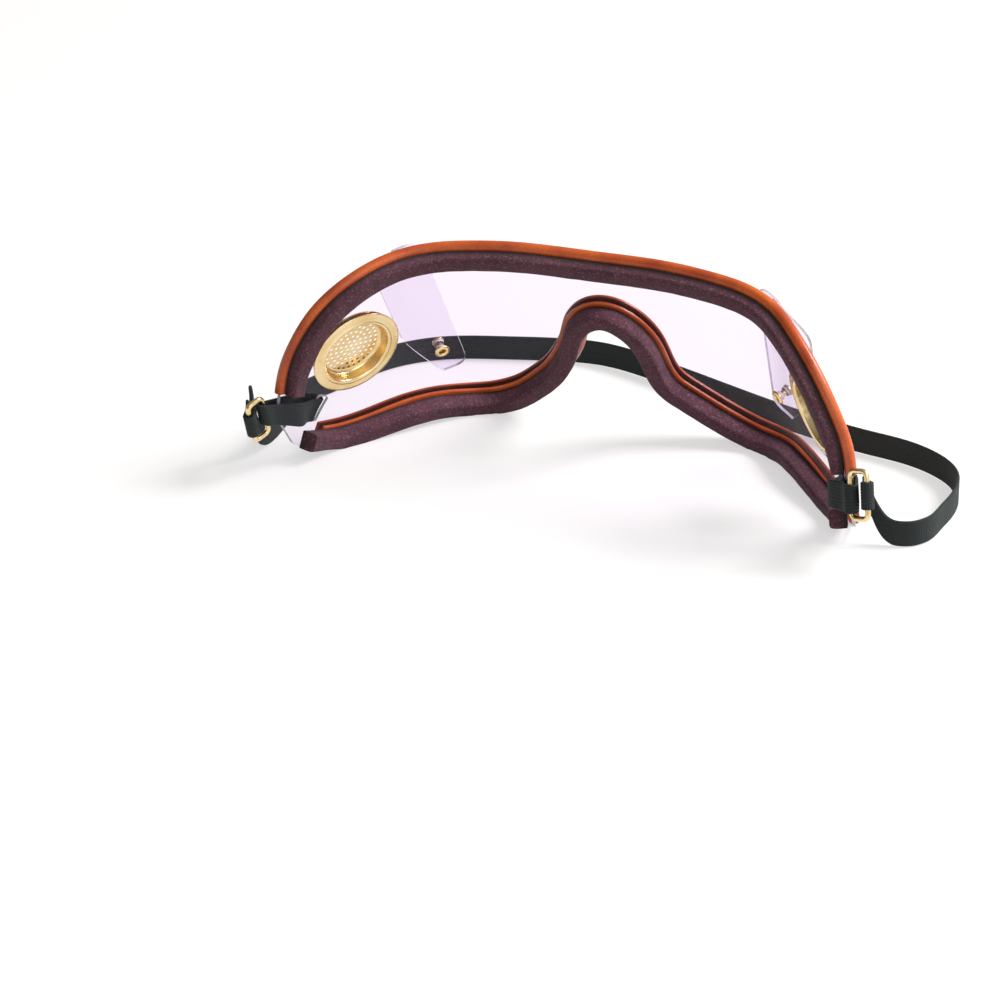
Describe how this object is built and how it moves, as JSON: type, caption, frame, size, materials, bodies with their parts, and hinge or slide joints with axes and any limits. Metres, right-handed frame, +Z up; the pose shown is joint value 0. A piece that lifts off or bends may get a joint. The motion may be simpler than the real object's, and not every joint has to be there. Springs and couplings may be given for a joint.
{
  "type": "goggles",
  "caption": "Wrap-around riding goggles with a clear curved sheet, leather edge channels, face foam, pierced temple vents, wind scoops and an elastic strap on wire rings.",
  "frame": {"origin": "on the table, below the middle of the bounding box", "axes": "+X across the face toward the wearer's right, +Y out of the front of the goggles, the way the wearer looks, +Z up"},
  "size_m": [0.2078, 0.1212, 0.0708],
  "materials": {
    "clear_plastic": "clear gloss",
    "leather": "polished",
    "foam": "matt foam",
    "brass": "polished",
    "elastic": "ribbed webbing"
  },
  "bodies": {
    "goggles": {"lens": "clear_plastic", "binding_top": "leather", "binding_bottom": "leather", "foam_top": "foam", "foam_bottom": "foam", "vent_cup_left": "brass", "vent_cup_right": "brass", "vent_ring_left": "brass", "vent_ring_right": "brass", "scoop_left": "clear_plastic", "scoop_right": "clear_plastic", "eyelet_upper_left": "brass", "eyelet_upper_right": "brass", "eyelet_lower_left": "brass", "eyelet_lower_right": "brass", "strap_band_left": "elastic", "strap_band_right": "elastic", "strap": "elastic"},
    "left_ring": {"ring_left": "brass", "strap_end_left": "elastic"},
    "right_ring": {"ring_right": "brass", "strap_end_right": "elastic"}
  },
  "joints": [
    {"name": "left_ring_swing", "type": "hinge", "parent": "goggles", "child": "left_ring", "pos_m": [-0.09305, -0.05276, 0.02137], "axis": [-0.018, -0.3605, 0.9326], "range_deg": [-25, 25]},
    {"name": "right_ring_swing", "type": "hinge", "parent": "goggles", "child": "right_ring", "pos_m": [0.08345, -0.05246, 0.02252], "axis": [-0.1376, 0.242, 0.9605], "range_deg": [-28, 3]}
  ]
}
